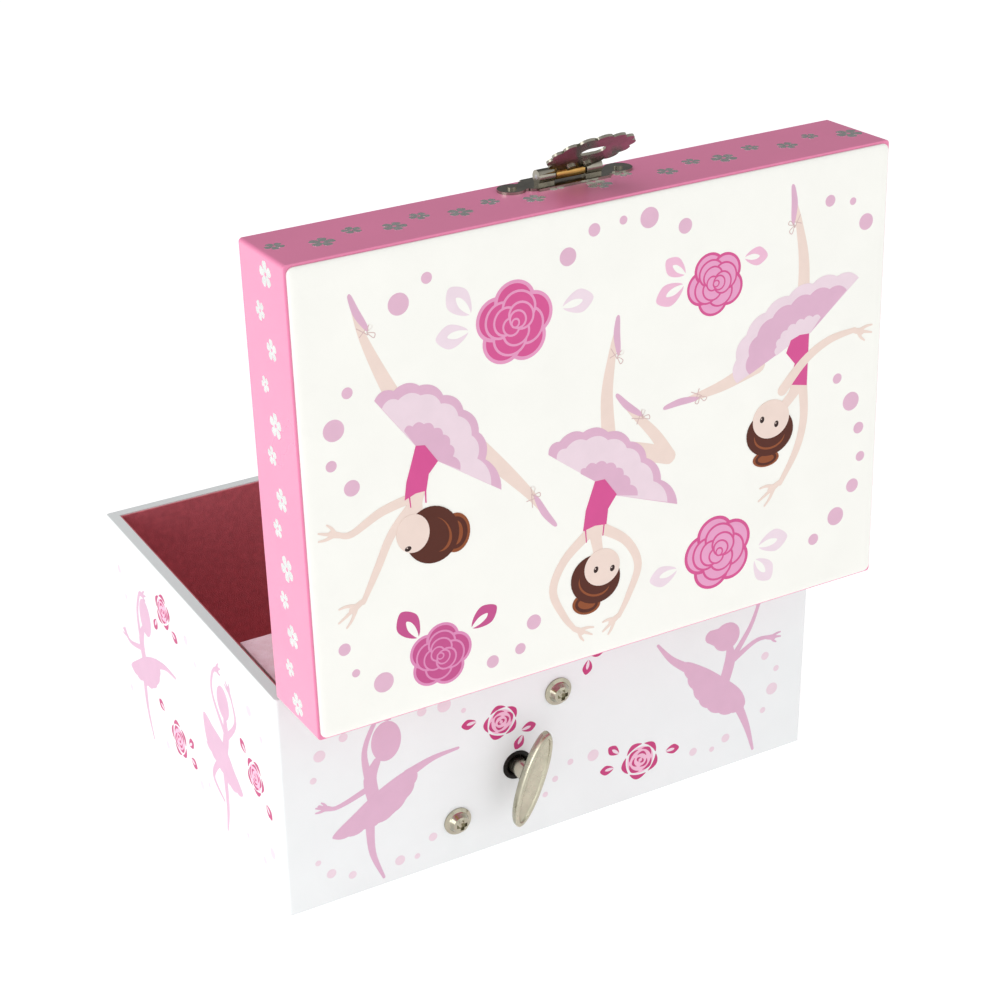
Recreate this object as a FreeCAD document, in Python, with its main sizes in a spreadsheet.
"""Ballerina jewellery box: a paper-covered card box with a wind-up musical movement.

The frame has its origin at the centre of the underside, +X to the right seen from the
front, +Y to the back, where the hinges and the winding key are, and +Z up.
Everything on the lid is drawn closed and then turned open about the hinge pins.
"""
import FreeCAD, Part
import math
import os
import re
import Sketcher
from FreeCAD import Placement, Rotation, Vector

DIMENSIONS = {
    "over": 1.0,
    # case
    "box_width": 155.0,
    "box_depth": 112.0,
    "base_height": 62.5,
    "lid_height": 23.6,
    "skin": 0.4,
    "board": 2.6,
    "lid_board": 2.0,
    "lining": 0.5,
    "lining_drop": 0.3,
    "corner_round": 0.9,
    "edge_round": 0.3,
    "pad_thick": 1.0,
    "pad_inset": 0.6,
    "pad_round": 0.7,
    "mirror_width": 122.0,
    "mirror_depth": 80.0,
    "mirror_thick": 1.5,
    # lid hinges
    "hinge_out": 1.25,
    "hinge_up": 0.2,
    "lid_gap": 0.3,
    "open_angle": 88.0,
    "hinge_x": 45.0,
    "leaf_half": 9.0,
    "leaf_thick": 0.7,
    "leaf_tall": 9.0,
    "leaf_clear": 1.4,
    "knuckle_radius": 1.15,
    "knuckle_half": 2.9,
    "knuckle_gap": 0.3,
    "pin_radius": 0.55,
    "wing_thick": 0.8,
    "wing_reach": 4.0,
    "wing_clear": 0.35,
    "wing_side_clear": 0.1,
    "wing_down": 3.2,
    "wing_up": 0.45,
    "nail_radius": 0.6,
    "nail_head": 1.1,
    "nail_head_thick": 0.45,
    "nail_length": 2.6,
    "nail_x": 5.5,
    # stage over the movement
    "stage_front": 24.6,
    "stage_half": 72.6,
    "stage_back_gap": 0.4,
    "stage_drop": 1.6,
    "stage_board": 2.0,
    "felt": 0.6,
    "divider": 2.0,
    "divider_y": 25.6,
    "block_side": 8.0,
    "bush_radius": 2.5,
    "bush_flange": 3.3,
    "bush_flange_thick": 0.4,
    "lever_slot_half": 0.9,
    "lever_slot_front": 47.9,
    "lever_slot_back": 51.4,
    # train of the movement
    "train_y": 38.0,
    "key_x": 12.4,
    "key_z": 22.6,
    "bedplate": 2.0,
    "bedplate_low_x": -5.0,
    "bedplate_high_x": 35.0,
    "bedplate_low_z": 7.5,
    "bedplate_high_z": 57.0,
    "frame_plate": 1.0,
    "frame_low_z": 35.4,
    "frame_high_z": 53.4,
    "frame_front": 34.6,
    "frame_web": 1.4,
    "frame_high_x": 17.0,
    "fit": 0.05,
    "barrel_radius": 12.0,
    "barrel_wall": 0.8,
    "barrel_back": 49.6,
    "crown_pitch": 11.0,
    "crown_inner": 10.2,
    "crown_outer": 11.8,
    "crown_teeth": 60,
    "crown_pinion_teeth": 12,
    "addendum": 0.28,
    "dedendum": 0.42,
    "tooth_fill": 0.37,
    "flank_angle": 22.0,
    "root_share": 0.46,
    "arbor_radius": 1.0,
    "winding_radius": 2.0,
    "winding_pivot": 1.5,
    "spring_strip": 0.35,
    "spring_inner": 3.0,
    "spring_step": 1.5,
    "spring_turns": 5,
    "drum_radius": 6.5,
    "drum_low": 39.4,
    "drum_high": 52.7,
    "pin_proud": 0.45,
    "note_pin_radius": 0.18,
    "notes": 18,
    "note_pitch": 0.722,
    "drum_gear_teeth": 36,
    "drum_gear_module": 0.4,
    "governor_pinion_teeth": 9,
    "governor_wheel_teeth": 30,
    "fan_pinion_teeth": 8,
    "fan_module": 0.3,
    "governor_angle": 150.0,
    "fan_angle": 200.0,
    "governor_arbor": 0.7,
    "fan_arbor": 0.5,
    "fan_radius": 4.1,
    "fan_thick": 0.4,
    "top_gear_low": 55.0,
    "top_gear_thick": 1.6,
    "top_gear_teeth": 20,
    "comb_thick": 1.0,
    "comb_tip": 19.75,
    "comb_root": 29.0,
    "comb_end": 34.8,
    "comb_slot": 0.22,
    "comb_screw_head": 1.5,
    "comb_screw_shank": 0.8,
    # key and movement screws
    "key_hole": 4.1,
    "key_bush_bore": 2.9,
    "key_bush_lip": 0.25,
    "pivot_proud": 0.6,
    "pivot_long": 1.9,
    "stem_sunk": 1.8,
    "stem_thread": 5.6,
    "key_stem": 2.3,
    "key_thread": 1.4,
    "key_standoff": 7.6,
    "key_length": 26.8,
    "key_breadth": 6.6,
    "key_thick": 3.0,
    "key_rim": 1.1,
    "key_dish": 0.7,
    "key_tip": 1.5,
    "key_tilt": 20.0,
    "screw_a_x": 0.3,
    "screw_a_z": 40.7,
    "screw_b_x": 30.0,
    "screw_b_z": 11.6,
    "screw_shank": 1.5,
    "screw_flange": 3.8,
    "screw_flange_thick": 0.7,
    "screw_dome": 2.7,
    "screw_dome_tall": 1.9,
    "cross_long": 1.5,
    "cross_wide": 0.55,
    "cross_deep": 1.1,
    # stop lever
    "lever_x": -7.0,
    "lever_y": 47.5,
    "lever_z": 47.0,
    "lever_hub": 1.9,
    "lever_pin": 0.75,
    "lever_wire": 0.45,
    # dancer
    "collar_radius": 1.5,
    "spring_outer": 2.2,
    "spring_bore": 1.6,
    "spring_low": 61.6,
    "fold_z": 64.8,
    "fold_clear": 2.4,
    "ferrule_tall": 1.8,
    "peg_radius": 1.0,
    "foot_disc": 3.1,
    "foot_disc_thick": 0.9,
    "figure_height": 50.0,
    "tutu_radius": 13.0,
    "tutu_inner": 2.8,
    "tutu_height": 25.0,
    "tutu_thick": 1.8,
    # clasp
    "clasp_z": 68.2,
    "clasp_tall": 8.8,
    "clasp_thick": 0.6,
    "clasp_lobe": 3.3,
    "clasp_nail_x": 13.9,
    "clasp_middle_half": 9.3,
    "clasp_arm_share": 0.72,
    "clasp_ear": 1.6,
    "clasp_ear_up": 1.9,
    "hasp_out": 2.4,
    "hasp_z": 69.3,
    "hasp_open": 143.0,
    "loop_radius": 1.6,
    "loop_inner": 4.1,
    "loop_wide": 4.1,
    "loop_foot": 0.6,
    "tongue_half": 3.7,
    "tongue_radius": 1.4,
    "tongue_thick": 0.8,
    "tongue_long": 6.6,
    "rivet_x": 2.1,
    "rivet_up": 1.3,
    "rivet_shank": 0.7,
    "rivet_head": 1.15,
    "rivet_head_thick": 0.4,
    "shield_half": 10.7,
    "shield_tall": 17.0,
    "shield_top": 65.9,
    "shield_thick": 0.6,
    "shield_lobes": 14,
    "shield_bulge": 1.1,
    "slot_half_wide": 3.1,
    "slot_half_tall": 1.8,
    "keeper_z": 56.5,
    "keeper_half": 7.0,
    "keeper_tall": 7.0,
    "keeper_lip": 1.5,
    "keeper_nail_in": 2.2,
    "keeper_long": 3.9,
    "keeper_post_wide": 2.2,
    "keeper_post_tall": 0.95,
}

DOC = FreeCAD.newDocument("ballerina_box")
SHEET = DOC.addObject("Spreadsheet::Sheet", "Dims")
NODES = []
AXES = {"x": Vector(1, 0, 0), "y": Vector(0, 1, 0), "z": Vector(0, 0, 1)}

# places that many pieces share, as expressions of the driving dimensions
HALF_X = "(box_width/2)"
HALF_Y = "(box_depth/2)"
SKIN_X = "(box_width/2 - skin)"
SKIN_Y = "(box_depth/2 - skin)"
INNER_X = "(box_width/2 - skin - board)"
INNER_Y = "(box_depth/2 - skin - board)"
FLOOR_TOP = "(skin + board)"
STAGE_TOP = "(base_height - stage_drop)"
STAGE_LOW = "(base_height - stage_drop - felt - stage_board)"
RIM = "(base_height + lid_gap)"
LID_TOP = "(base_height + lid_gap + lid_height - pad_thick)"
CEILING = "(base_height + lid_gap + lid_height - pad_thick - skin - lid_board)"
HINGE_Y = "(box_depth/2 + hinge_out)"
HINGE_Z = "(base_height + hinge_up)"
BED_Y = "(box_depth/2 - skin - board - bedplate)"
HASP_Y = "(-box_depth/2 - hasp_out)"
RIVET_Z = "(hasp_z - tongue_long + rivet_up)"
CROWN_MODULE = "(2*crown_pitch/crown_teeth)"
BARREL_FRONT = "(train_y + crown_pinion_teeth*crown_pitch/crown_teeth + dedendum)"


def expression(text):
    """Point each dimension's name in a text at its cell in the sheet."""
    def cell(match):
        word = match.group(0)
        return "Dims." + word if word in DIMENSIONS else word
    return re.sub(r"[a-z][a-z_]*", cell, str(text))


def value(text):
    return float(SHEET.evalExpression(expression(text)))


def bind(piece, path, text):
    piece.setExpression(path, expression(text))


def fill_sheet():
    for row, (name, number) in enumerate(DIMENSIONS.items(), start=1):
        SHEET.set(f"A{row}", name)
        SHEET.set(f"B{row}", str(number))
        SHEET.setAlias(f"B{row}", name)
    DOC.recompute()


# ---- solids whose sizes and places are bound to the sheet -------------------------------

def box(name, x, y, z):
    """A block between two places along each axis."""
    block = DOC.addObject("Part::Box", name)
    for side, axis, (low, high) in zip(("Length", "Width", "Height"), "xyz", (x, y, z)):
        bind(block, side, f"({high}) - ({low})")
        bind(block, f"Placement.Base.{axis}", low)
    return block


def rod(name, radius, start, length, axis="z"):
    """A round bar from a starting point along an axis."""
    bar = DOC.addObject("Part::Cylinder", name)
    bar.Placement = Placement(Vector(), Rotation(AXES["z"], AXES[axis]))
    bind(bar, "Radius", radius)
    bind(bar, "Height", length)
    for base, place in zip("xyz", start):
        bind(bar, f"Placement.Base.{base}", place)
    return bar


def cut(name, base, tools):
    result = DOC.addObject("Part::Cut", name)
    result.Base = base
    result.Tool = tools[0] if len(tools) == 1 else fuse(name + "_tools", tools)
    return result


def fuse(name, pieces):
    result = DOC.addObject("Part::MultiFuse", name)
    result.Shapes = pieces
    return result


def group(name, pieces):
    """Separate solids in one sub-part."""
    result = DOC.addObject("Part::Compound", name)
    result.Links = pieces
    return result


def node(label, piece, placement=None):
    """Make a piece a sub-part, carried to where it stands at rest."""
    piece.Label = label
    if placement is not None:
        piece.Placement = placement
    NODES.append(piece)
    return piece


def shaped(label, shape, placement=None):
    """A sub-part whose shape no feature of FreeCAD draws."""
    piece = DOC.addObject("Part::Feature", label)
    piece.Shape = shape
    return node(label, piece, placement or Placement())


# ---- PartDesign bodies ------------------------------------------------------------------

def new_body(name):
    return DOC.addObject("PartDesign::Body", name)


def sketch_on(body, name, plane, lift=None):
    sketch = body.newObject("Sketcher::SketchObject", name)
    planes = [item for item in body.Origin.OriginFeatures if item.Role == plane]
    sketch.AttachmentSupport = (planes[0], [""])
    sketch.MapMode = "FlatFace"
    if lift is not None:
        bind(sketch, "AttachmentOffset.Base.z", lift)
    return sketch


def hold(sketch, element, end, x, y):
    """Tie a sketch point to its two coordinates."""
    for kind, axis, place in (("DistanceX", -2, x), ("DistanceY", -1, y)):
        if place == "0":
            sketch.addConstraint(Sketcher.Constraint("PointOnObject", element, end, axis))
            continue
        number = sketch.addConstraint(Sketcher.Constraint(kind, -1, 1, element, end, value(place)))
        bind(sketch, f"Constraints[{number}]", place)


def polygon(sketch, corners):
    points = [Vector(value(x), value(y), 0) for x, y in corners]
    first = sketch.GeometryCount
    count = len(points)
    for index in range(count):
        sketch.addGeometry(Part.LineSegment(points[index], points[(index + 1) % count]))
    for index in range(count):
        following = first + (index + 1) % count
        sketch.addConstraint(Sketcher.Constraint("Coincident", first + index, 2, following, 1))
    for index, (x, y) in enumerate(corners):
        hold(sketch, first + index, 1, x, y)
    return sketch


def rectangle(sketch, half_x, half_y):
    return polygon(sketch, [(f"-{half_x}", f"-{half_y}"), (half_x, f"-{half_y}"),
                            (half_x, half_y), (f"-{half_x}", half_y)])


def circle(sketch, x, y, radius):
    centre = Vector(value(x), value(y), 0)
    ring = sketch.addGeometry(Part.Circle(centre, AXES["z"], value(radius)))
    hold(sketch, ring, 3, x, y)
    number = sketch.addConstraint(Sketcher.Constraint("Radius", ring, value(radius)))
    bind(sketch, f"Constraints[{number}]", radius)
    return sketch


def pad(body, sketch, length, name):
    feature = body.newObject("PartDesign::Pad", name)
    feature.Profile = sketch
    bind(feature, "Length", length)
    DOC.recompute()
    return feature


def pocket(body, sketch, length, name, upward=True):
    """Cut along the sketch's normal when upward, against it otherwise."""
    before = body.Shape.Volume
    feature = body.newObject("PartDesign::Pocket", name)
    feature.Profile = sketch
    feature.Reversed = upward
    bind(feature, "Length", length)
    DOC.recompute()
    if body.Shape.Volume >= before:
        raise ValueError(f"{name} cuts nothing")
    return feature


def round_edges(body, radius, name, wanted):
    """Fillet the edges of the body's tip that pass a test."""
    base = body.Tip
    chosen = [f"Edge{i}" for i, edge in enumerate(base.Shape.Edges, start=1) if wanted(edge)]
    feature = body.newObject("PartDesign::Fillet", name)
    feature.Base = (base, chosen)
    bind(feature, "Radius", radius)
    DOC.recompute()
    return feature


def turned(name, profile):
    """A body turned about its own Z axis from a half section of (radius, height) points."""
    body = new_body(name)
    sketch = polygon(sketch_on(body, name + "_section", "XZ_Plane"), profile)
    feature = body.newObject("PartDesign::Revolution", name + "_turn")
    feature.Profile = sketch
    feature.ReferenceAxis = (sketch, ["V_Axis"])
    feature.Angle = 360
    DOC.recompute()
    return body


def upright_edge(edge):
    return abs(edge.tangentAt(edge.FirstParameter).z) > 0.99


def edge_at_height(height, half_x, half_y):
    """A test for the outermost loop of edges at one height."""
    def wanted(edge):
        bounds = edge.BoundBox
        level = abs(bounds.ZMin - height) < 1e-4 and abs(bounds.ZMax - height) < 1e-4
        reach_x = max(abs(bounds.XMin), abs(bounds.XMax))
        reach_y = max(abs(bounds.YMin), abs(bounds.YMax))
        return level and (reach_x > half_x - 1e-3 or reach_y > half_y - 1e-3)
    return wanted


# ---- places of the moving bodies at rest ------------------------------------------------

def turned_about(point, angle):
    """A turn about a line along X through a point, in degrees."""
    return Placement(Vector(), Rotation(AXES["x"], angle), point)


def lid_at_rest():
    hinge = Vector(0, value(HINGE_Y), value(HINGE_Z))
    return turned_about(hinge, -value("open_angle"))


def hasp_at_rest():
    pivot = Vector(0, value(HASP_Y), value("hasp_z"))
    return lid_at_rest().multiply(turned_about(pivot, -value("hasp_open")))


def facing_back(x, z, y):
    """Lay a body turned about Z along the box's Y axis, its foot at a place."""
    spin = Rotation(AXES["z"], AXES["y"])
    return Placement(Vector(value(x), value(y), value(z)), spin)


# ---- base of the box ----------------------------------------------------------------------

def wall_holes():
    """Borings through the back wall for the movement's screws, its key and the hinge nails."""
    screws = [rod(f"bore_{name}", "screw_shank", (f"screw_{name}_x", f"{BED_Y} - over", f"screw_{name}_z"),
                  "board + skin + bedplate + 2*over", "y") for name in "ab"]
    key = rod("bore_key", "key_hole", ("key_x", f"{INNER_Y} - over", "key_z"),
              "board + skin + 2*over", "y")
    nails = [rod(f"bore_nail_{side}_{place}", "nail_radius",
                 (hinge_nail_x(side, place), f"{HALF_Y} - nail_length", base_nail_z()),
                 "nail_length + over", "y") for side in (-1, 1) for place in (-1, 1)]
    return screws, key, nails


def hinge_nail_x(side, place):
    return f"{side}*hinge_x + {place}*nail_x"


def base_nail_z():
    return f"{HINGE_Z} - leaf_clear - leaf_tall/2"


def lid_nail_z():
    return f"{HINGE_Z} + leaf_clear + leaf_tall/2"


def keeper_nail_x(side):
    return f"{side}*(keeper_half - keeper_nail_in)"


def keeper_bores():
    return [rod(f"bore_keeper_{side}", "nail_radius",
                (keeper_nail_x(side), f"-{HALF_Y} - over", "keeper_z"),
                "nail_length + over", "y") for side in (-1, 1)]


def covered_shell(name, height):
    """Wrapping paper on four walls, turned over the rim: open below, or into the mouth."""
    body = new_body(name)
    pad(body, rectangle(sketch_on(body, name + "_outline", "XY_Plane"), HALF_X, HALF_Y), height,
        name + "_block")
    round_edges(body, "corner_round", name + "_corners", upright_edge)
    return body


def base_box():
    screws, key, nails = wall_holes()
    keeper = keeper_bores()
    back_tools = screws + [key] + nails
    wrap = covered_shell("base_wrap_body", "base_height")
    inside = rectangle(sketch_on(wrap, "base_wrap_inside", "XY_Plane"), SKIN_X, SKIN_Y)
    pocket(wrap, inside, "base_height - skin", "base_wrap_hollow")
    mouth = rectangle(sketch_on(wrap, "base_wrap_opening", "XY_Plane"), INNER_X, INNER_Y)
    pocket(wrap, mouth, "base_height", "base_wrap_mouth")
    top = value("base_height")
    round_edges(wrap, "edge_round", "base_wrap_rim",
                edge_at_height(top, value(HALF_X), value(HALF_Y)))
    node("base_wrap", cut("base_wrap_bored", wrap, back_tools + keeper))
    node("base_bottom_paper", box("bottom_paper", (f"-{SKIN_X}", SKIN_X), (f"-{SKIN_Y}", SKIN_Y),
                                  ("0", "skin")))
    node("base_floor", box("floor_board", (f"-{INNER_X}", INNER_X), (f"-{INNER_Y}", INNER_Y),
                           ("skin", FLOOR_TOP)))
    wall_top = "base_height - skin"
    front = box("front_board", (f"-{SKIN_X}", SKIN_X), (f"-{SKIN_Y}", f"-{INNER_Y}"),
                ("skin", wall_top))
    node("base_front_wall", cut("front_bored", front, keeper))
    back = box("back_board", (f"-{SKIN_X}", SKIN_X), (INNER_Y, SKIN_Y), ("skin", wall_top))
    node("base_back_wall", cut("back_bored", back, back_tools))
    node("base_left_wall", box("left_board", (f"-{SKIN_X}", f"-{INNER_X}"),
                               (f"-{INNER_Y}", INNER_Y), ("skin", wall_top)))
    node("base_right_wall", box("right_board", (INNER_X, SKIN_X), (f"-{INNER_Y}", INNER_Y),
                                ("skin", wall_top)))


def base_lining():
    """Dark lining of the jewel compartment, up to the rim."""
    low = f"{FLOOR_TOP} + lining"
    high = "base_height - lining_drop"
    back = "divider_y - lining"
    node("lining_floor", box("floor_lining", (f"-{INNER_X}", INNER_X), (f"-{INNER_Y}", back),
                             (FLOOR_TOP, low)))
    front = box("front_lining", (f"-{INNER_X}", INNER_X), (f"-{INNER_Y}", f"-{INNER_Y} + lining"),
                (low, high))
    sides = [box(f"side_lining_{name}", span, (f"-{INNER_Y} + lining", back), (low, high))
             for name, span in (("left", (f"-{INNER_X}", f"-{INNER_X} + lining")),
                                ("right", (f"{INNER_X} - lining", INNER_X)))]
    upper = [box(f"end_lining_{name}", span, (back, INNER_Y), (STAGE_LOW, high))
             for name, span in (("left", (f"-{INNER_X}", f"-{INNER_X} + lining")),
                                ("right", (f"{INNER_X} - lining", INNER_X)))]
    node("lining_walls", group("wall_linings", [front] + sides + upper))


def stage():
    """The divider, the platform on it, its felt and the bush of the dancer's spindle."""
    node("movement_divider", box("divider_board", (f"-{INNER_X}", INNER_X),
                                 ("divider_y", "divider_y + divider"), (FLOOR_TOP, STAGE_LOW)))
    node("divider_lining", box("divider_cloth", (f"-{INNER_X} + lining", f"{INNER_X} - lining"),
                               ("divider_y - lining", "divider_y"),
                               (f"{FLOOR_TOP} + lining", STAGE_LOW)))
    back = f"{INNER_Y} - stage_back_gap"
    span_x = ("-stage_half", "stage_half")
    span_y = ("stage_front", back)
    for label, name, low, high in (("stage_board", "stage_plank", STAGE_LOW, f"{STAGE_TOP} - felt"),
                                   ("stage_felt", "stage_cloth", f"{STAGE_TOP} - felt", STAGE_TOP)):
        through = (f"{STAGE_LOW} - over", f"{STAGE_TOP} + over")
        hole = rod(name + "_hole", "bush_radius", ("0", "train_y", through[0]),
                   "felt + stage_board + 2*over")
        slot = box(name + "_slot", ("lever_x - lever_slot_half", "lever_x + lever_slot_half"),
                   ("lever_slot_front", "lever_slot_back"), through)
        plank = box(name, span_x, span_y, (low, high))
        node(label, cut(name + "_bored", plank, [hole, slot]))
    blocks = [box(f"block_{name}", span, (f"{INNER_Y} - block_side", INNER_Y), (FLOOR_TOP, STAGE_LOW))
              for name, span in (("left", (f"-{INNER_X}", f"-{INNER_X} + block_side")),
                                 ("right", (f"{INNER_X} - block_side", INNER_X)))]
    node("stage_blocks", group("corner_blocks", blocks))
    seat = "stage_board + felt"
    flange_top = f"{seat} + bush_flange_thick"
    bush = turned("bush_body", [("arbor_radius + fit", "0"), ("bush_radius", "0"), ("bush_radius", seat),
                                ("bush_flange", seat), ("bush_flange", flange_top),
                                ("arbor_radius + fit", flange_top)])
    node("spindle_bush", bush, Placement(Vector(0, value("train_y"), value(STAGE_LOW)), Rotation()))


# ---- hinges -------------------------------------------------------------------------------

def hinge_leaf(name, side, fixed):
    """One stamped leaf: a plate with its knuckles, and on the base leaf two stop wings."""
    middle = f"{side}*hinge_x"
    grip = ("-1" if fixed else "1")
    near = f"{HINGE_Z} + {grip}*leaf_clear"
    far = f"{HINGE_Z} + {grip}*(leaf_clear + leaf_tall)"
    span = (far, near) if fixed else (near, far)
    half = "leaf_half" if fixed else "(leaf_half + wing_thick + wing_side_clear)"
    plate = box(name + "_plate", (f"{middle} - {half}", f"{middle} + {half}"),
                (HALF_Y, f"{HALF_Y} + leaf_thick"), span)
    reaches = ([("-leaf_half", "-knuckle_half - knuckle_gap"), ("knuckle_half + knuckle_gap", "leaf_half")]
               if fixed else [("-knuckle_half", "knuckle_half")])
    pieces = [plate]
    for index, (low, high) in enumerate(reaches):
        low_x = f"{middle} + ({low})"
        high_x = f"{middle} + ({high})"
        web = (near, HINGE_Z) if fixed else (HINGE_Z, near)
        pieces.append(box(f"{name}_web_{index}", (low_x, high_x),
                          (HALF_Y, f"{HALF_Y} + leaf_thick"), web))
        pieces.append(rod(f"{name}_knuckle_{index}", "knuckle_radius", (low_x, HINGE_Y, HINGE_Z),
                          f"({high}) - ({low})", "x"))
    if fixed:
        for way in (-1, 1):
            inner = f"{middle} + {way}*leaf_half"
            outer = f"{middle} + {way}*(leaf_half + wing_thick)"
            ends = (inner, outer) if way > 0 else (outer, inner)
            pieces.append(box(f"{name}_wing_{way}", ends,
                              (f"{HALF_Y} + wing_clear", f"{HALF_Y} + wing_reach"),
                              (f"{HINGE_Z} - wing_down", f"{HINGE_Z} + wing_up")))
    nail_z = base_nail_z() if fixed else lid_nail_z()
    tools = [rod(f"{name}_bore_{place}", "nail_radius",
                 (hinge_nail_x(side, place), f"{HALF_Y} - over", nail_z), "leaf_thick + 2*over", "y")
             for place in (-1, 1)]
    pin_radius = "pin_radius" if fixed else "pin_radius + fit"
    tools.append(rod(name + "_bore", pin_radius, (f"{middle} - leaf_half - over", HINGE_Y, HINGE_Z),
                     "2*(leaf_half + over)", "x"))
    return cut(name, fuse(name + "_blank", pieces), tools)


def nail(name, x, z, face_y, outward):
    """A short nail with a round head: its head rests on a face and its shank goes in."""
    way = 1 if outward > 0 else -1
    shank_start = f"{face_y} - ({way}*nail_length)" if way > 0 else face_y
    head_start = face_y if way > 0 else f"{face_y} - nail_head_thick"
    shank = rod(name + "_shank", "nail_radius", (x, shank_start, z), "nail_length", "y")
    head = rod(name + "_head", "nail_head", (x, head_start, z), "nail_head_thick", "y")
    return fuse(name, [shank, head])


def hinges():
    base = [hinge_leaf(f"base_leaf_{'left' if side < 0 else 'right'}", side, True) for side in (-1, 1)]
    node("hinge_base_leaves", group("base_leaf_pair", base))
    lid = [hinge_leaf(f"lid_leaf_{'left' if side < 0 else 'right'}", side, False) for side in (-1, 1)]
    node("hinge_lid_leaves", group("lid_leaf_pair", lid), lid_at_rest())
    pins = [rod(f"pin_{side}", "pin_radius", (f"{side}*hinge_x - leaf_half", HINGE_Y, HINGE_Z),
                "2*leaf_half", "x") for side in (-1, 1)]
    node("hinge_pins", group("pin_pair", pins))
    face = f"({HALF_Y} + leaf_thick)"
    base_nails = [nail(f"base_nail_{side}_{place}", hinge_nail_x(side, place), base_nail_z(), face, 1)
                  for side in (-1, 1) for place in (-1, 1)]
    keeper_face = f"(-{HALF_Y} - clasp_thick)"
    base_nails += [nail(f"keeper_nail_{side}", keeper_nail_x(side), "keeper_z", keeper_face, -1)
                   for side in (-1, 1)]
    node("base_nails", group("base_nail_set", base_nails))
    lid_nails = [nail(f"lid_nail_{side}_{place}", hinge_nail_x(side, place), lid_nail_z(), face, 1)
                 for side in (-1, 1) for place in (-1, 1)]
    lid_nails += [nail(f"clasp_nail_{side}", f"{side}*clasp_nail_x", "clasp_z", keeper_face, -1)
                  for side in (-1, 1)]
    node("lid_nails", group("lid_nail_set", lid_nails), lid_at_rest())


# ---- lid ------------------------------------------------------------------------------------

def lid():
    rest = lid_at_rest()
    lifted = rest.multiply(Placement(Vector(0, 0, value(RIM)), Rotation()))
    wrap = covered_shell("lid_wrap_body", "lid_height - pad_thick")
    inside = rectangle(sketch_on(wrap, "lid_wrap_inside", "XY_Plane", "skin"), SKIN_X, SKIN_Y)
    pocket(wrap, inside, "lid_height - pad_thick - 2*skin", "lid_wrap_hollow")
    mouth = rectangle(sketch_on(wrap, "lid_wrap_opening", "XY_Plane"), INNER_X, INNER_Y)
    pocket(wrap, mouth, "skin", "lid_wrap_mouth")
    top = value("lid_height - pad_thick")
    for name, height in (("lid_wrap_top", top), ("lid_wrap_rim", 0.0)):
        round_edges(wrap, "edge_round", name, edge_at_height(height, value(HALF_X), value(HALF_Y)))
    node("lid_wrap", cut("lid_wrap_bored", wrap, lid_bores("wrap", f"-1*{RIM}")), lifted)
    bores = lid_bores("board", "0")

    wall_low = f"{RIM} + skin"
    plank = box("lid_plank", (f"-{SKIN_X}", SKIN_X), (f"-{SKIN_Y}", SKIN_Y), (CEILING, f"{LID_TOP} - skin"))
    node("lid_top_board", group("lid_top_set", [plank]), rest)
    front = box("lid_front_plank", (f"-{SKIN_X}", SKIN_X), (f"-{SKIN_Y}", f"-{INNER_Y}"),
                (wall_low, CEILING))
    node("lid_front_board", cut("lid_front_bored", front, bores[:2]), rest)
    back = box("lid_back_plank", (f"-{SKIN_X}", SKIN_X), (INNER_Y, SKIN_Y), (wall_low, CEILING))
    node("lid_back_board", cut("lid_back_bored", back, bores[2:]), rest)
    for label, span in (("lid_left_board", (f"-{SKIN_X}", f"-{INNER_X}")),
                        ("lid_right_board", (INNER_X, SKIN_X))):
        side = box(label + "_plank", span, (f"-{INNER_Y}", INNER_Y), (wall_low, CEILING))
        node(label, group(label + "_set", [side]), rest)

    lid_pad(rest)

    outer = box("lid_lining_block", (f"-{INNER_X}", INNER_X), (f"-{INNER_Y}", INNER_Y),
                (wall_low, CEILING))
    inner = box("lid_lining_hollow", (f"-{INNER_X} + lining", f"{INNER_X} - lining"),
                (f"-{INNER_Y} + lining", f"{INNER_Y} - lining"), (RIM, f"{CEILING} - lining"))
    node("lid_lining", cut("lid_lining_shell", outer, [inner]), rest)
    glass = box("mirror_glass", ("-mirror_width/2", "mirror_width/2"),
                ("-mirror_depth/2", "mirror_depth/2"),
                (f"{CEILING} - lining - mirror_thick", f"{CEILING} - lining"))
    node("mirror", group("mirror_set", [glass]), rest)


def lid_pad(rest):
    """The thin cushion under the printed paper of the lid's top."""
    cushion = new_body("lid_pad_body")
    half_x = f"({HALF_X} - pad_inset)"
    half_y = f"({HALF_Y} - pad_inset)"
    pad(cushion, rectangle(sketch_on(cushion, "pad_outline", "XY_Plane"), half_x, half_y), "pad_thick",
        "pad_block")
    round_edges(cushion, "corner_round", "pad_corners", upright_edge)
    round_edges(cushion, "pad_round", "pad_edges",
                edge_at_height(value("pad_thick"), value(half_x), value(half_y)))
    node("lid_top_pad", cushion,
         rest.multiply(Placement(Vector(0, 0, value(LID_TOP)), Rotation())))


def lid_bores(layer, lift):
    """Borings for the clasp's nails, then for the nails of the hinges' lid leaves."""
    clasp_bores = [rod(f"bore_clasp_{layer}_{side}", "nail_radius",
                       (f"{side}*clasp_nail_x", f"-{HALF_Y} - over", f"clasp_z + ({lift})"),
                       "nail_length + over - clasp_thick", "y") for side in (-1, 1)]
    leaf_bores = [rod(f"bore_leaf_{layer}_{side}_{place}", "nail_radius",
                      (hinge_nail_x(side, place), f"{HALF_Y} + leaf_thick - nail_length",
                       f"{lid_nail_z()} + ({lift})"), "nail_length + over", "y")
                  for side in (-1, 1) for place in (-1, 1)]
    return clasp_bores + leaf_bores


# ---- clasp ----------------------------------------------------------------------------------

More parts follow.
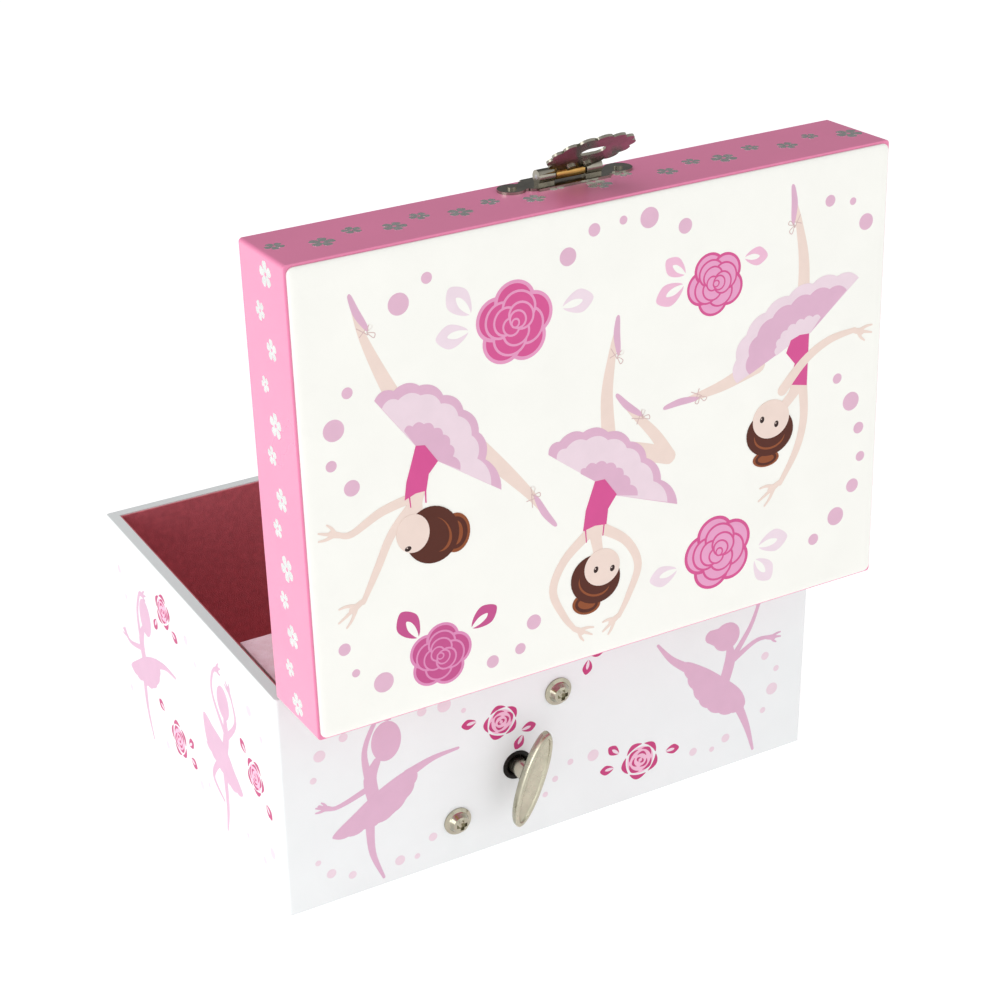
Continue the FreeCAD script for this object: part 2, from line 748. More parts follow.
def clasp():
    rest = lid_at_rest()
    face = f"-{HALF_Y}"
    top = f"{face} - clasp_thick"
    low_z = "clasp_z - clasp_tall/2"
    high_z = "clasp_z + clasp_tall/2"
    pieces = [box("clasp_middle", ("-clasp_middle_half", "clasp_middle_half"), (top, face),
                  (low_z, high_z)),
              box("clasp_arm", ("-clasp_nail_x", "clasp_nail_x"), (top, face),
                  ("clasp_z - clasp_lobe*clasp_arm_share", "clasp_z + clasp_lobe*clasp_arm_share"))]
    for side in (-1, 1):
        pieces.append(rod(f"clasp_lobe_{side}", "clasp_lobe", (f"{side}*clasp_nail_x", top, "clasp_z"),
                          "clasp_thick", "y"))
        for way in (-1, 1):
            pieces.append(rod(f"clasp_ear_{side}_{way}", "clasp_ear",
                              (f"{side}*clasp_middle_half", top, f"clasp_z + {way}*clasp_ear_up"),
                              "clasp_thick", "y"))
        inner = f"{side}*loop_inner"
        start = inner if side > 0 else "-loop_inner - loop_wide"
        span = (start, f"{start} + loop_wide")
        pieces.append(rod(f"clasp_loop_{side}", "loop_radius", (start, HASP_Y, "hasp_z"),
                          "loop_wide", "x"))
        pieces.append(box(f"clasp_foot_{side}", span, (HASP_Y, face),
                          ("hasp_z - loop_radius*loop_foot", "hasp_z + loop_radius*loop_foot")))
    tools = [rod(f"clasp_bore_{side}", "nail_radius",
                 (f"{side}*clasp_nail_x", f"{top} - over", "clasp_z"), "clasp_thick + 2*over", "y")
             for side in (-1, 1)]
    pin_half = "(loop_inner + loop_wide)"
    tools.append(rod("clasp_pin_bore", "pin_radius", (f"-{pin_half} - over", HASP_Y, "hasp_z"),
                     f"2*({pin_half} + over)", "x"))
    node("clasp_plate", cut("clasp_bored", fuse("clasp_blank", pieces), tools), rest)
    pin = rod("clasp_rod", "pin_radius", (f"-{pin_half}", HASP_Y, "hasp_z"), f"2*{pin_half}", "x")
    node("clasp_pin", group("clasp_pin_set", [pin]), rest)


def clasp_keeper():
    """The plate on the base with the post that the shield's slot drops over."""
    face = f"-{HALF_Y}"
    keeper_face = f"({face} - clasp_thick)"
    plate = box("keeper_plate", ("-keeper_half", "keeper_half"), (keeper_face, face),
                ("keeper_z - keeper_tall/2", "keeper_z + keeper_tall/2 - keeper_lip"))
    post = box("keeper_post", ("-keeper_post_wide", "keeper_post_wide"),
               (f"{keeper_face} - keeper_long", keeper_face),
               ("keeper_z - keeper_post_tall", "keeper_z + keeper_post_tall"))
    bores = [rod(f"keeper_hole_{side}", "nail_radius",
                 (keeper_nail_x(side), f"{keeper_face} - over", "keeper_z"), "clasp_thick + 2*over", "y")
             for side in (-1, 1)]
    node("clasp_keeper", cut("keeper_bored", fuse("keeper_blank", [plate, post]), bores))


def hasp():
    """The swinging part of the clasp, drawn hanging down as when it is latched."""
    rest = hasp_at_rest()
    barrel = rod("tongue_barrel", "tongue_radius", ("-tongue_half", HASP_Y, "hasp_z"),
                 "2*tongue_half", "x")
    outer = f"({HASP_Y} - tongue_radius*0.25)"
    inner = f"({HASP_Y} - tongue_radius*0.25 + tongue_thick)"
    strap = box("tongue_strap", ("-tongue_half", "tongue_half"), (outer, inner),
                ("hasp_z - tongue_long", "hasp_z - 0.4"))
    bore = rod("tongue_bore", "pin_radius + fit", ("-tongue_half - over", HASP_Y, "hasp_z"),
               "2*(tongue_half + over)", "x")
    holes = [rod(f"rivet_hole_{side}", "rivet_shank", (f"{side}*rivet_x", f"{outer} - over", RIVET_Z),
                 "tongue_thick + 2*over", "y") for side in (-1, 1)]
    node("hasp_tongue", cut("tongue_bored", fuse("tongue_blank", [barrel, strap]), [bore] + holes), rest)
    shaped("hasp_shield", shield_blank(value(outer) - value("shield_thick")), rest)
    studs = []
    for side in (-1, 1):
        place = (f"{side}*rivet_x", f"{outer} - shield_thick - rivet_head_thick", RIVET_Z)
        shank = rod(f"rivet_{side}_shank", "rivet_shank", place,
                    "shield_thick + tongue_thick + rivet_head_thick", "y")
        head = rod(f"rivet_{side}_head", "rivet_head", place, "rivet_head_thick", "y")
        studs.append(fuse(f"rivet_{side}", [shank, head]))
    node("hasp_rivets", group("rivet_pair", studs), rest)


def shield_blank(face_y):
    """A scalloped shield with an oval slot, standing on its outer face's plane."""
    half = value("shield_half")
    tall = value("shield_tall") / 2
    middle = value("shield_top") - tall
    lobes = int(value("shield_lobes"))
    bulge = value("shield_bulge")

    def rim(angle, grow):
        return Vector((half - bulge + grow) * math.cos(angle), face_y,
                      middle + (tall - bulge + grow) * math.sin(angle))

    step = 2 * math.pi / lobes
    arcs = [Part.Arc(rim(index * step, 0), rim((index + 0.5) * step, bulge),
                     rim((index + 1) * step, 0)).toShape() for index in range(lobes)]
    depth = Vector(0, value("shield_thick"), 0)
    blank = Part.Face(Part.Wire(arcs)).extrude(depth)
    wide = value("slot_half_wide")
    high = value("slot_half_tall")
    low_z = value("keeper_z")
    start = face_y - value("over")
    through = value("shield_thick + 2*over")
    slot = Part.makeBox(2 * (wide - high), through, 2 * high, Vector(high - wide, start, low_z - high))
    for side in (-1, 1):
        end = Vector(side * (wide - high), start, low_z)
        rivet = Vector(side * value("rivet_x"), start, value(RIVET_Z))
        slot = slot.multiFuse([Part.makeCylinder(high, through, end, AXES["y"]),
                               Part.makeCylinder(value("rivet_shank"), through, rivet, AXES["y"])])
    return blank.cut(slot)


# ---- toothed wheels ---------------------------------------------------------------------------

def toothed_disc(teeth, module, height, bore, start_angle, low):
    """A spur wheel about Z with straight-flanked teeth, one of them at the start angle."""
    teeth = int(teeth)
    addendum = module * value("addendum") / value(CROWN_MODULE)
    dedendum = module * value("dedendum") / value(CROWN_MODULE)
    pitch_radius = module * teeth / 2
    thick = value("tooth_fill") * math.pi * module
    slope = math.tan(math.radians(value("flank_angle")))
    root = pitch_radius - dedendum
    tip = pitch_radius + addendum
    root_half = (thick / 2 + dedendum * slope) / root
    root_half = min(root_half, value("root_share") * 2 * math.pi / teeth)
    tip_half = (thick / 2 - addendum * slope) / tip
    points = []
    for tooth in range(teeth):
        middle = math.radians(start_angle) + 2 * math.pi * tooth / teeth
        for radius, away in ((root, -root_half), (tip, -tip_half), (tip, tip_half), (root, root_half)):
            angle = middle + away
            points.append(Vector(radius * math.cos(angle), radius * math.sin(angle), low))
    outline = Part.makePolygon(points + points[:1])
    disc = Part.Face(outline).extrude(Vector(0, 0, height))
    if bore > 0:
        disc = disc.cut(Part.makeCylinder(bore, height + 2, Vector(0, 0, low - 1)))
    return disc


def crown_ring():
    """Face teeth on the barrel's end, standing up from z = 0, with a gap on the +Y side."""
    teeth = int(value("crown_teeth"))
    pitch = 2 * math.pi * value("crown_pitch") / teeth
    thick = value("tooth_fill") * pitch
    slope = math.tan(math.radians(value("flank_angle")))
    root_half = thick / 2 + value("dedendum") * slope
    tip_half = thick / 2 - value("addendum") * slope
    tall = value("dedendum") + value("addendum")
    inner = value("crown_inner")
    width = value("crown_outer") - inner
    section = Part.makePolygon([Vector(inner, -root_half, -0.1), Vector(inner, root_half, -0.1),
                                Vector(inner, root_half, 0), Vector(inner, tip_half, tall),
                                Vector(inner, -tip_half, tall), Vector(inner, -root_half, 0),
                                Vector(inner, -root_half, -0.1)])
    tooth = Part.Face(section).extrude(Vector(width, 0, 0))
    ring = []
    for index in range(teeth):
        copy = tooth.copy()
        copy.rotate(Vector(), AXES["z"], 90 + (index + 0.5) * 360 / teeth)
        ring.append(copy)
    return ring


# ---- movement -----------------------------------------------------------------------------------

def wheel_centres():
    """Where the upright arbors of the train stand, as (x, y)."""
    drum = (value("key_x"), value("train_y"))
    reach = value("drum_gear_module") * (value("drum_gear_teeth") + value("governor_pinion_teeth")) / 2
    angle = math.radians(value("governor_angle"))
    governor = (drum[0] + reach * math.cos(angle), drum[1] + reach * math.sin(angle))
    reach = value("fan_module") * (value("governor_wheel_teeth") + value("fan_pinion_teeth")) / 2
    angle = math.radians(value("fan_angle"))
    fan = (governor[0] + reach * math.cos(angle), governor[1] + reach * math.sin(angle))
    return drum, governor, fan


def upright(radius, centre, low, high):
    return Part.makeCylinder(radius, high - low, Vector(centre[0], centre[1], low))


def bedplate():
    body = new_body("bedplate_body")
    plate = polygon(sketch_on(body, "bedplate_outline", "XZ_Plane"),
                    [("bedplate_low_x", "bedplate_low_z"), ("bedplate_high_x", "bedplate_low_z"),
                     ("bedplate_high_x", "bedplate_high_z"), ("bedplate_low_x", "bedplate_high_z")])
    pad(body, plate, "bedplate", "bedplate_plate")
    boss = polygon(sketch_on(body, "comb_seat_outline", "XZ_Plane"),
                   [("comb_root + 0.5", "drum_low"), ("comb_end", "drum_low"),
                    ("comb_end", "drum_high"), ("comb_root + 0.5", "drum_high")])
    pad(body, boss, f"{INNER_Y} - train_y - comb_thick/2", "comb_seat")
    holes = sketch_on(body, "bedplate_holes", "XZ_Plane")
    for name in "ab":
        circle(holes, f"screw_{name}_x", f"screw_{name}_z", "screw_shank")
    circle(holes, "key_x", "key_z", "winding_radius + fit")
    pocket(body, holes, "bedplate + 1", "bedplate_bores", upward=True)
    seats = sketch_on(body, "comb_screw_holes", "XZ_Plane")
    for part in (0.25, 0.75):
        circle(seats, "(comb_root + comb_end)/2 + 0.4", comb_screw_z(part), "comb_screw_shank")
    pocket(body, seats, f"{INNER_Y} - train_y", "comb_screw_bores", upward=True)
    node("movement_bedplate", body, Placement(Vector(0, value(INNER_Y), 0), Rotation()))


def comb_screw_z(part):
    return f"drum_low + {part}*(drum_high - drum_low)"


def bearing_frame():
    """A bent frame on the bedplate whose two shelves carry the upright arbors."""
    drum, governor, fan = wheel_centres()
    low_x = value("bedplate_low_x")
    high_x = value("frame_high_x")
    bed = value(BED_Y)
    front = value("frame_front")
    plate = value("frame_plate")
    low = value("frame_low_z")
    high = value("frame_high_z")
    web = Part.makeBox(high_x - low_x, value("frame_web"), high + plate - low,
                       Vector(low_x, bed - value("frame_web"), low))
    shape = web
    for level in (low, high):
        shelf = Part.makeBox(high_x - low_x, bed - front, plate, Vector(low_x, front, level))
        shape = shape.fuse(shelf)
    flange = Part.makeBox(1.0, bed - 45.6, 6.0, Vector(low_x, 45.6, value("lever_z") - 3))
    shape = shape.fuse(flange)
    fit = value("fit")
    for centre, radius in ((drum, value("arbor_radius")), (governor, value("governor_arbor")),
                           (fan, value("fan_arbor"))):
        shape = shape.cut(upright(radius + fit, centre, low - 1, high + 3))
    spindle = (0.0, value("train_y"))
    shape = shape.cut(upright(value("arbor_radius") + fit, spindle, high - 1, high + 3))
    pin_bore = Part.makeCylinder(value("lever_pin"), 6, Vector(low_x - 2, value("lever_y"),
                                 value("lever_z")), AXES["x"])
    shaped("bearing_frame", shape.cut(pin_bore).removeSplitter())


def barrel_and_spring():
    depth = f"(barrel_back - {BARREL_FRONT})"
    cup = turned("barrel_cup", [("winding_pivot + fit", "0"), ("barrel_radius", "0"),
                                ("barrel_radius", depth), ("barrel_radius - barrel_wall", depth),
                                ("barrel_radius - barrel_wall", "1.0"),
                                ("winding_pivot + fit", "1.0")])
    shape = cup.Shape.copy()
    shape = shape.multiFuse([flip(tooth) for tooth in crown_ring()]).removeSplitter()
    shaped("spring_barrel", shape, facing_back("key_x", "key_z", BARREL_FRONT))
    shaped("mainspring", coiled_strip(), facing_back("key_x", "key_z", f"{BARREL_FRONT} + 1.4"))


def flip(tooth):
    """Turn a tooth so that it points down from z = 0 and the gap stays over the axis."""
    turned_tooth = tooth.copy()
    turned_tooth.rotate(Vector(), AXES["y"], 180)
    return turned_tooth


def coiled_strip():
    """A flat spring of half turns about two centres, each half turn wider than the last."""
    strip = value("spring_strip")
    step = value("spring_step") / 2
    tall = value(f"barrel_back - {BARREL_FRONT}") - 2.2
    halves = []
    for index in range(int(2 * value("spring_turns"))):
        side = 1 if index % 2 == 0 else -1
        inner = value("spring_inner") + index * step
        centre = Vector(side * step / 2, 0, 0)
        ring = Part.makeCylinder(inner + strip, tall, centre).cut(
            Part.makeCylinder(inner, tall, centre))
        corner = Vector(-40, 0, 0) if side > 0 else Vector(-40, -40, 0)
        halves.append(ring.common(Part.makeBox(80, 40, tall, corner)))
    return halves[0].multiFuse(halves[1:]).removeSplitter()


def winding_parts():
    """The winding arbor with its thread, and the stem and bar of the key screwed on it."""
    front = f"({BARREL_FRONT} - pivot_proud)"
    shoulder = f"({HALF_Y} - stem_sunk - {front})"
    thread_end = f"({shoulder} + stem_thread)"
    arbor = turned("winding_arbor_body",
                   [("0", "0"), ("winding_pivot", "0"), ("winding_pivot", "pivot_long"),
                    ("winding_radius", "pivot_long"), ("winding_radius", shoulder),
                    ("key_thread", shoulder), ("key_thread", thread_end), ("0", thread_end)])
    node("winding_arbor", arbor, facing_back("key_x", "key_z", front))
    stem_long = "(key_standoff + stem_sunk - key_thick/2)"
    stem = turned("key_stem_body", [("key_thread", "0"), ("key_stem", "0"), ("key_stem", stem_long),
                                    ("0", stem_long), ("0", "stem_thread"),
                                    ("key_thread", "stem_thread")])
    node("key_stem", stem, facing_back("key_x", "key_z", f"{HALF_Y} - stem_sunk"))
    node("winding_key", key_bar(), key_place())
    face = "(skin + board)"
    lip = f"({face} + key_bush_lip)"
    bush = turned("key_bush_body", [("key_bush_bore", "0"), ("key_hole", "0"), ("key_hole", face),
                                    ("key_hole - 0.4*key_bush_lip", lip),
                                    ("key_bush_bore + key_bush_lip", lip), ("key_bush_bore", face)])
    node("key_bush", bush, facing_back("key_x", "key_z", INNER_Y))


def key_place():
    """The bar lies across the stem's end, its length leaning over from upright."""
    place = Vector(value("key_x"), value(f"{HALF_Y} + key_standoff - key_thick/2"), value("key_z"))
    lean = Rotation(AXES["y"], -value("key_tilt"))
    lay = Rotation(AXES["x"], -90)
    return Placement(place, lean.multiply(lay))


def key_bar():
    """A lens-shaped bar with rounded ends and a dished face, drawn flat with its length along Y."""
    body = new_body("key_bar_body")
    outline = sketch_on(body, "key_outline", "XY_Plane")
    lens(outline, "(key_length/2)", "(key_breadth/2)", "key_tip")
    pad(body, outline, "key_thick", "key_block")
    dish = sketch_on(body, "key_dish_outline", "XY_Plane", "key_thick")
    lens(dish, "(key_length/2 - key_rim*1.6)", "(key_breadth/2 - key_rim)", "(key_tip - key_rim*0.6)")
    pocket(body, dish, "key_dish", "key_dish_cut", upward=False)
    return body


def lens(sketch, half_long, half_wide, tip):
    """Two long arcs joined by two small round tips."""
    ends = value(half_long) - value(tip)
    side = value(half_wide)
    small = value(tip)
    points = [Vector(small, ends, 0), Vector(-small, ends, 0), Vector(-small, -ends, 0),
              Vector(small, -ends, 0)]
    middles = [Vector(0, ends + small, 0), Vector(-side, 0, 0), Vector(0, -ends - small, 0),
               Vector(side, 0, 0)]
    first = sketch.GeometryCount
    for index in range(4):
        sketch.addGeometry(Part.Arc(points[index], middles[index], points[(index + 1) % 4]))
    ends_of_arc = [arc_ends(sketch, first + index, points[index]) for index in range(4)]
    for index in range(4):
        here = ends_of_arc[index][1]
        there = ends_of_arc[(index + 1) % 4][0]
        sketch.addConstraint(Sketcher.Constraint("Coincident", first + index, here,
                                                 first + (index + 1) % 4, there))
    places = [(tip, f"({half_long} - {tip})"), (f"-{tip}", f"({half_long} - {tip})"),
              (f"-{tip}", f"-({half_long} - {tip})"), (tip, f"-({half_long} - {tip})")]
    for index, (x, y) in enumerate(places):
        hold(sketch, first + index, ends_of_arc[index][0], x, y)
    chord = f"({half_long} - {tip})"
    for index, place in ((0, chord), (2, f"-{chord}")):
        number = sketch.addConstraint(Sketcher.Constraint("DistanceY", -1, 1, first + index, 3,
                                                          value(place)))
        bind(sketch, f"Constraints[{number}]", place)
    sagitta = f"({half_wide} - {tip})"
    radius = f"({chord}^2 + {sagitta}^2)/(2*{sagitta})"
    for index in (1, 3):
        number = sketch.addConstraint(Sketcher.Constraint("Radius", first + index, value(radius)))
        bind(sketch, f"Constraints[{number}]", radius)


def arc_ends(sketch, element, start):
    """Which end of an arc is its start: arcs are kept anticlockwise."""
    begins = sketch.Geometry[element].StartPoint
    return (1, 2) if begins.distanceToPoint(start) < 1e-6 else (2, 1)


def movement_screws():
    """Two screws with a flange, a low dome and a crossed recess, through wall and bedplate."""
    shank_long = "(board + skin + bedplate - 0.2)"
    screws = []
    for name in "ab":
        body = turned(f"screw_{name}_body",
                      [("0", f"-1*{shank_long}"), ("screw_shank", f"-1*{shank_long}"),
                       ("screw_shank", "0"), ("screw_flange", "0"),
                       ("screw_flange", "screw_flange_thick*0.5"),
                       ("screw_dome + 0.2", "screw_flange_thick"),
                       ("screw_dome", "screw_flange_thick + 0.3"),
                       ("screw_dome*0.8", "screw_dome_tall + 0.3"),
                       ("screw_dome*0.42", "screw_dome_tall + 0.75"), ("0", "screw_dome_tall + 0.85")])
        cross = sketch_on(body, f"cross_{name}", "XY_Plane", "screw_dome_tall + 1")
        polygon(cross, cross_corners())
        pocket(body, cross, "cross_deep", f"cross_cut_{name}", upward=False)
        body.Placement = facing_back(f"screw_{name}_x", f"screw_{name}_z", HALF_Y)
        screws.append(body)
    node("movement_screws", group("screw_pair", screws))


def cross_corners():
    long = "cross_long"
    wide = "cross_wide"
    quarter = [(long, wide), (wide, wide), (wide, long)]
    corners = []
    for turn in range(4):
        for x, y in quarter:
            if turn == 0:
                corners.append((x, y))
            elif turn == 1:
                corners.append((f"-{y}", x))
            elif turn == 2:
                corners.append((f"-{x}", f"-{y}"))
            else:
                corners.append((y, f"-{x}"))
    return corners


def drum_and_train():
    drum, governor, fan = wheel_centres()
    module = value("drum_gear_module")
    fan_module = value("fan_module")
    crown_module = value(CROWN_MODULE)
    arbor = value("arbor_radius")
    at_drum = Placement(Vector(drum[0], drum[1], 0), Rotation())
    at_governor = Placement(Vector(governor[0], governor[1], 0), Rotation())
    at_fan = Placement(Vector(fan[0], fan[1], 0), Rotation())
    at_spindle = Placement(Vector(0, drum[1], 0), Rotation())

    tooth_low = value("key_z + crown_inner")
    tooth_high = value("key_z + crown_outer")
    pinion = toothed_disc(value("crown_pinion_teeth"), crown_module, tooth_high - tooth_low, 0, 90,
                          tooth_low)
    gear_low = value("top_gear_low")
    gear_high = gear_low + value("top_gear_thick")
    shaft = Part.makeCylinder(arbor, gear_high + 0.3 - tooth_low, Vector(0, 0, tooth_low))
    shaped("drum_arbor", shaft.fuse(pinion).removeSplitter(), at_drum)
    shaped("tune_drum", pinned_drum(), at_drum)
    floor = value("frame_low_z + frame_plate")
    gear = toothed_disc(value("drum_gear_teeth"), module, 0.9, arbor, value("governor_angle"),
                        floor + 0.5)
    shaped("drum_gear", gear, at_drum)
    top_module = drum[0] / value("top_gear_teeth")
    top = toothed_disc(value("top_gear_teeth"), top_module, gear_high - gear_low, arbor, 180, gear_low)
    shaped("top_gear", top, at_drum)

    back_angle = value("governor_angle") + 180 + 180 / value("governor_pinion_teeth")
    shelf_top = value("frame_high_z + frame_plate")
    axle = Part.makeCylinder(value("governor_arbor"), shelf_top - floor + 1,
                             Vector(0, 0, floor - 1))
    small = toothed_disc(value("governor_pinion_teeth"), module, 1.1, 0, back_angle, floor + 0.4)
    large = toothed_disc(value("governor_wheel_teeth"), fan_module, 0.7, 0, value("fan_angle"),
                         floor + 1.9)
    hub = Part.makeCylinder(1.2, 0.6, Vector(0, 0, floor + 1.4))
    shaped("governor_wheel", axle.multiFuse([small, large, hub]).removeSplitter(), at_governor)

    back_angle = value("fan_angle") + 180 + 180 / value("fan_pinion_teeth")
    fan_axle = Part.makeCylinder(value("fan_arbor"), shelf_top - floor + 1, Vector(0, 0, floor - 1))
    fan_pinion = toothed_disc(value("fan_pinion_teeth"), fan_module, 0.9, 0, back_angle, floor + 1.8)
    reach = value("fan_radius")
    thick = value("fan_thick")
    blade_low = floor + 4.2
    blade = Part.makeBox(2 * reach, thick, 10.0, Vector(-reach, -thick / 2, blade_low))
    shaped("governor_fan", fan_axle.multiFuse([fan_pinion, blade]).removeSplitter(), at_fan)

    gear_angle = 180 / value("top_gear_teeth")
    follower = toothed_disc(value("top_gear_teeth"), top_module, gear_high - gear_low, arbor,
                            gear_angle, gear_low)
    shaped("spindle_gear", follower, at_spindle)
    spindle = Part.makeCylinder(arbor, value("spring_low + 1.8") - value("frame_high_z") + 0.2,
                                Vector(0, 0, value("frame_high_z") - 0.2))
    collar = Part.makeCylinder(value("collar_radius"), 1.4, Vector(0, 0, value("spring_low + 0.4")))
    shaped("dancer_spindle", spindle.fuse(collar).removeSplitter(), at_spindle)


def pinned_drum():
    """The drum of the tune, with rows of pins placed by a fixed rule."""
    low = value("drum_low")
    high = value("drum_high")
    radius = value("drum_radius")
    body = Part.makeCylinder(radius, high - low, Vector(0, 0, low))
    body = body.cut(Part.makeCylinder(value("arbor_radius"), high - low, Vector(0, 0, low)))
    pins = []
    for note in range(int(value("notes"))):
        level = note_height(note)
        for turn in range(3):
            angle = (note * 137.5 + turn * 120 + (note * turn % 5) * 14) % 360
            way = Vector(math.cos(math.radians(angle)), math.sin(math.radians(angle)), 0)
            foot = Vector(0, 0, level) + way * (radius - 0.4)
            pins.append(Part.makeCylinder(value("note_pin_radius"), value("pin_proud") + 0.4, foot, way))
    return body.multiFuse(pins)


def note_height(note):
    middle = (value("drum_low") + value("drum_high")) / 2
    return middle + (note - (value("notes") - 1) / 2) * value("note_pitch")


def comb():
    """Steel comb: a plate slit into one tooth for each note."""
    body = new_body("comb_body")
    margin = "(notes*note_pitch/2)"
    middle = "((drum_low + drum_high)/2)"
    plate = polygon(sketch_on(body, "comb_outline", "XZ_Plane"),
                    [("comb_tip", f"{middle} - {margin} + comb_slot/2"),
                     ("comb_end", f"{middle} - {margin} + comb_slot/2"),
                     ("comb_end", f"{middle} + {margin} - comb_slot/2"),
                     ("comb_tip", f"{middle} + {margin} - comb_slot/2")])
    pad(body, plate, "comb_thick", "comb_plate")
    slot = polygon(sketch_on(body, "comb_slot_outline", "XZ_Plane"),
                   [("comb_tip - 1", f"{middle} - {margin} + note_pitch - comb_slot/2"),
                    ("comb_root", f"{middle} - {margin} + note_pitch - comb_slot/2"),
                    ("comb_root", f"{middle} - {margin} + note_pitch + comb_slot/2"),
                    ("comb_tip - 1", f"{middle} - {margin} + note_pitch + comb_slot/2")])
    slit = pocket(body, slot, "comb_thick + 1", "comb_slit", upward=True)
    row = body.newObject("PartDesign::LinearPattern", "comb_slits")
    row.Originals = [slit]
    row.Direction = (slot, ["V_Axis"])
    bind(row, "Length", "(notes - 2)*note_pitch")
    row.Occurrences = int(value("notes")) - 1
    body.Tip = row
    DOC.recompute()
    holes = sketch_on(body, "comb_holes", "XZ_Plane")
    for part in (0.25, 0.75):
        circle(holes, "(comb_root + comb_end)/2 + 0.4", comb_screw_z(part), "comb_screw_shank")
    pocket(body, holes, "comb_thick + 1", "comb_bores", upward=True)
    node("tune_comb", body, Placement(Vector(0, value("train_y + comb_thick/2"), 0), Rotation()))
    screws = []
    for number, part in enumerate((0.25, 0.75)):
        place = ("(comb_root + comb_end)/2 + 0.4", "train_y - comb_thick/2", comb_screw_z(part))
        shank = rod(f"comb_screw_{number}_shank", "comb_screw_shank", place, "comb_thick + 5", "y")
        head = rod(f"comb_screw_{number}_head", "comb_screw_head",
                   (place[0], "train_y - comb_thick/2 - 0.9", place[2]), "0.9", "y")
        slot_cut = box(f"comb_screw_{number}_slot", (f"{place[0]} - 2", f"{place[0]} + 2"),
                       ("train_y - comb_thick/2 - 1", "train_y - comb_thick/2 - 0.5"),
                       (f"{place[2]} - 0.2", f"{place[2]} + 0.2"))
        screws.append(cut(f"comb_screw_{number}", fuse(f"comb_screw_{number}_blank", [shank, head]),
                          [slot_cut]))
    node("comb_screws", group("comb_screw_pair", screws))


def stop_lever():
    """A bent wire on a hub: the closing lid tips it forward and its pad nears the fan."""
    x = value("lever_x")
    pivot = Vector(x, value("lever_y"), value("lever_z"))
    hub_radius = value("lever_hub")
    wire = value("lever_wire")
    hub = Part.makeCylinder(hub_radius, 2.8, pivot - Vector(1.4, 0, 0), AXES["x"])
    path = [pivot + Vector(0, 0.3, hub_radius - 0.5), Vector(x, 51.0, 62.6), Vector(x, 53.6, 64.8)]
    shapes = []
    for start, end in zip(path, path[1:]):
        shapes.append(Part.makeCylinder(wire, (end - start).Length, start, end - start))
        shapes.append(Part.makeSphere(wire, end))
    arm = Part.makeBox(x + 1.4 + 2.4 - (x - 1.4), 1.6, 0.9,
                       Vector(x - 1.4, value("lever_y") - 2.2, value("lever_z") + 3.4))
    post = Part.makeBox(1.6, 1.2, 3.4, Vector(x - 1.4, value("lever_y") - 1.0, value("lever_z") + 1.0))
    shape = hub.multiFuse(shapes + [arm, post])
    bore = Part.makeCylinder(value("lever_pin + fit"), 6, pivot - Vector(3, 0, 0), AXES["x"])
    shaped("stop_lever", shape.cut(bore).removeSplitter())
    node("lever_pin", rod("lever_pin_rod", "lever_pin", ("lever_x - 2.2", "lever_y", "lever_z"),
                          "bedplate_low_x - lever_x + 2.2 + 1", "x"))


# ---- dancer ---------------------------------------------------------------------------------------

def dancer():
    at_spindle = Placement(Vector(0, value("train_y"), 0), Rotation())
    coil = turned("coil_body", [("spring_bore", "0"), ("spring_outer", "0"),
                                ("spring_outer", "fold_z + fold_clear - spring_low"),
                                ("spring_bore", "fold_z + fold_clear - spring_low")])
    node("coil_spring", coil, Placement(Vector(0, value("train_y"), value("spring_low")), Rotation()))
    base = value("fold_z + fold_clear")
    ferrule = turned("ferrule_body", [("peg_radius + fit", "0"), ("spring_outer", "0"),
                                      ("spring_outer", "ferrule_tall"),
                                      ("peg_radius + fit", "ferrule_tall")])
    node("spring_ferrule", ferrule, Placement(Vector(0, value("train_y"), base), Rotation()))
    shaped("dancer_figure", figure(), at_spindle)
    shaped("dancer_skirt", skirt(), at_spindle)


def figure_base():
    return value("fold_z + fold_clear + ferrule_tall") + 0.15


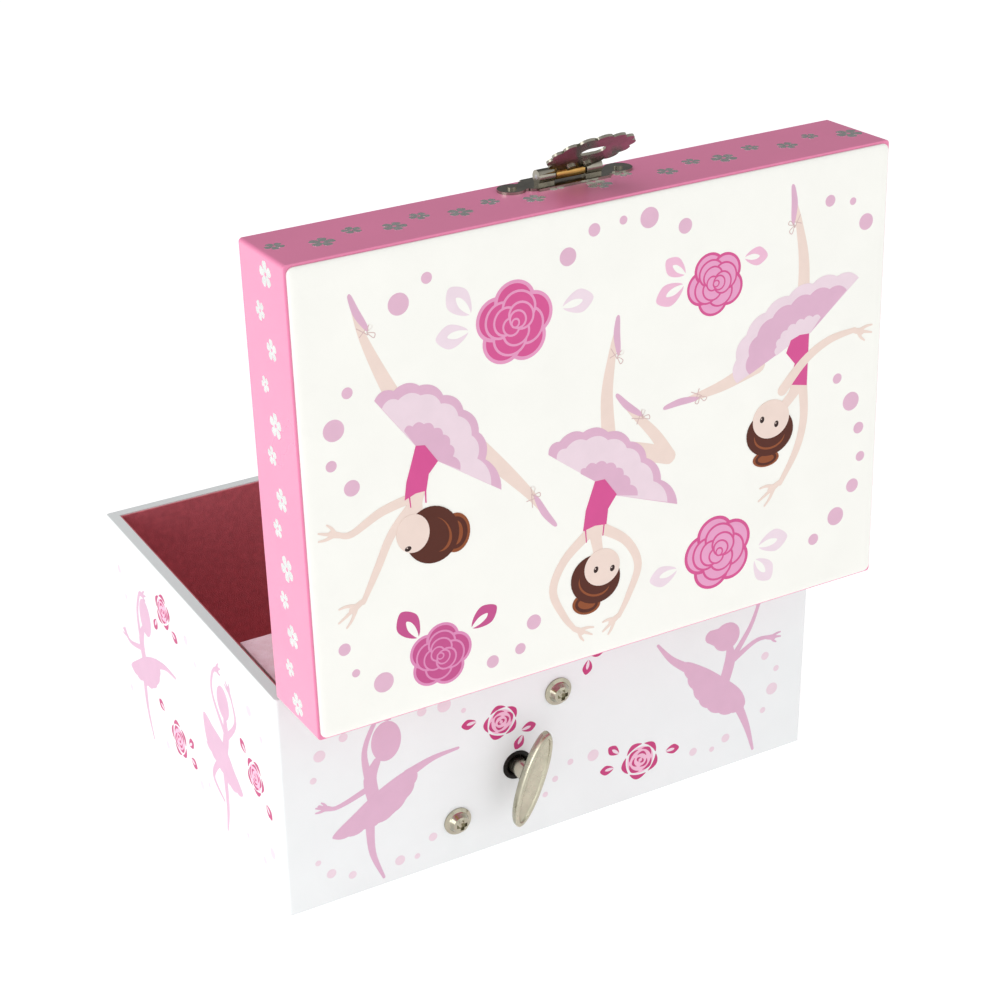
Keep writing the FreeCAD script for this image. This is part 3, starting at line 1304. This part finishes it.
def figure():
    """A plain solid of the dancer: foot disc, legs, body, head and a ring of raised arms."""
    foot = figure_base()
    top = value("fold_z + fold_clear")
    tall = value("figure_height")
    disc = value("foot_disc_thick")
    peg = Part.makeCylinder(value("peg_radius"), foot - top, Vector(0, 0, top))
    plate = Part.makeCylinder(value("foot_disc"), disc, Vector(0, 0, foot))
    hip = foot + 0.42 * tall
    waist = foot + 0.52 * tall
    shoulder = foot + 0.66 * tall
    head = foot + 0.785 * tall
    leg = Part.makeCone(0.9, 2.1, hip - foot - disc, Vector(0, 0, foot + disc))
    hips = Part.makeCone(2.1, 2.0, waist - hip, Vector(0, 0, hip))
    chest = Part.makeCone(1.6, 2.7, shoulder - waist, Vector(0, 0, waist))
    neck = Part.makeCylinder(0.9, head - shoulder, Vector(0, 0, shoulder))
    skull = Part.makeSphere(3.0, Vector(0, 0, head))
    bun = Part.makeSphere(1.5, Vector(0, 2.2, head + 2.4))
    knee = Vector(5.6, -2.2, foot + 0.24 * tall)
    thigh = tapered_limb(Vector(0.8, 0, hip), knee, 1.5, 1.0)
    shin = tapered_limb(knee, Vector(1.0, -0.8, foot + 0.26 * tall - 1.6), 1.0, 0.6)
    shapes = [plate, leg, hips, chest, neck, skull, bun, thigh, shin, Part.makeSphere(1.0, knee)]
    for side in (-1, 1):
        elbow = Vector(side * 6.4, -0.6, foot + 0.80 * tall)
        hand = Vector(side * 1.5, -1.4, foot + 0.985 * tall)
        shapes.append(tapered_limb(Vector(side * 2.1, 0, shoulder - 0.6), elbow, 0.85, 0.7))
        shapes.append(tapered_limb(elbow, hand, 0.7, 0.5))
        shapes.append(Part.makeSphere(0.7, elbow))
    return peg.multiFuse(shapes)


def tapered_limb(start, end, wide, narrow):
    way = end - start
    return Part.makeCone(wide, narrow, way.Length, start, way)


def skirt():
    """The closed outer shape of the net skirt, round the hips."""
    thick = value("tutu_thick")
    level = value("fold_z + tutu_height")
    radius = value("tutu_radius")
    inner = value("tutu_inner")
    section = Part.makePolygon([Vector(inner, 0, level), Vector(radius, 0, level - thick * 0.6),
                                Vector(radius, 0, level + thick * 0.4), Vector(inner, 0, level + thick),
                                Vector(inner, 0, level)])
    return Part.Face(section).revolve(Vector(), AXES["z"], 360)


# ---- all of it -------------------------------------------------------------------------------------

def check():
    for piece in DOC.Objects:
        if "Invalid" in piece.State or "Error" in piece.State:
            raise ValueError(f"{piece.Name} did not compute: {piece.State}")
    labels = [piece.Label for piece in NODES]
    if len(labels) != len(set(labels)) or len(labels) > 60:
        raise ValueError(f"{len(labels)} labels, of which {len(set(labels))} differ")
    for piece in NODES:
        if piece.Shape.isNull() or not piece.Shape.isValid() or not piece.Shape.Solids:
            raise ValueError(f"{piece.Label} has no valid solid")


def write():
    os.makedirs("parts", exist_ok=True)
    for piece in NODES:
        piece.Shape.exportStep(f"parts/{piece.Label}.step")
    print(len(NODES), "sub-parts")


def main():
    fill_sheet()
    base_box()
    base_lining()
    stage()
    hinges()
    lid()
    clasp()
    clasp_keeper()
    hasp()
    bedplate()
    bearing_frame()
    DOC.recompute()
    barrel_and_spring()
    winding_parts()
    movement_screws()
    drum_and_train()
    comb()
    stop_lever()
    dancer()
    DOC.recompute()
    check()
    write()


main()
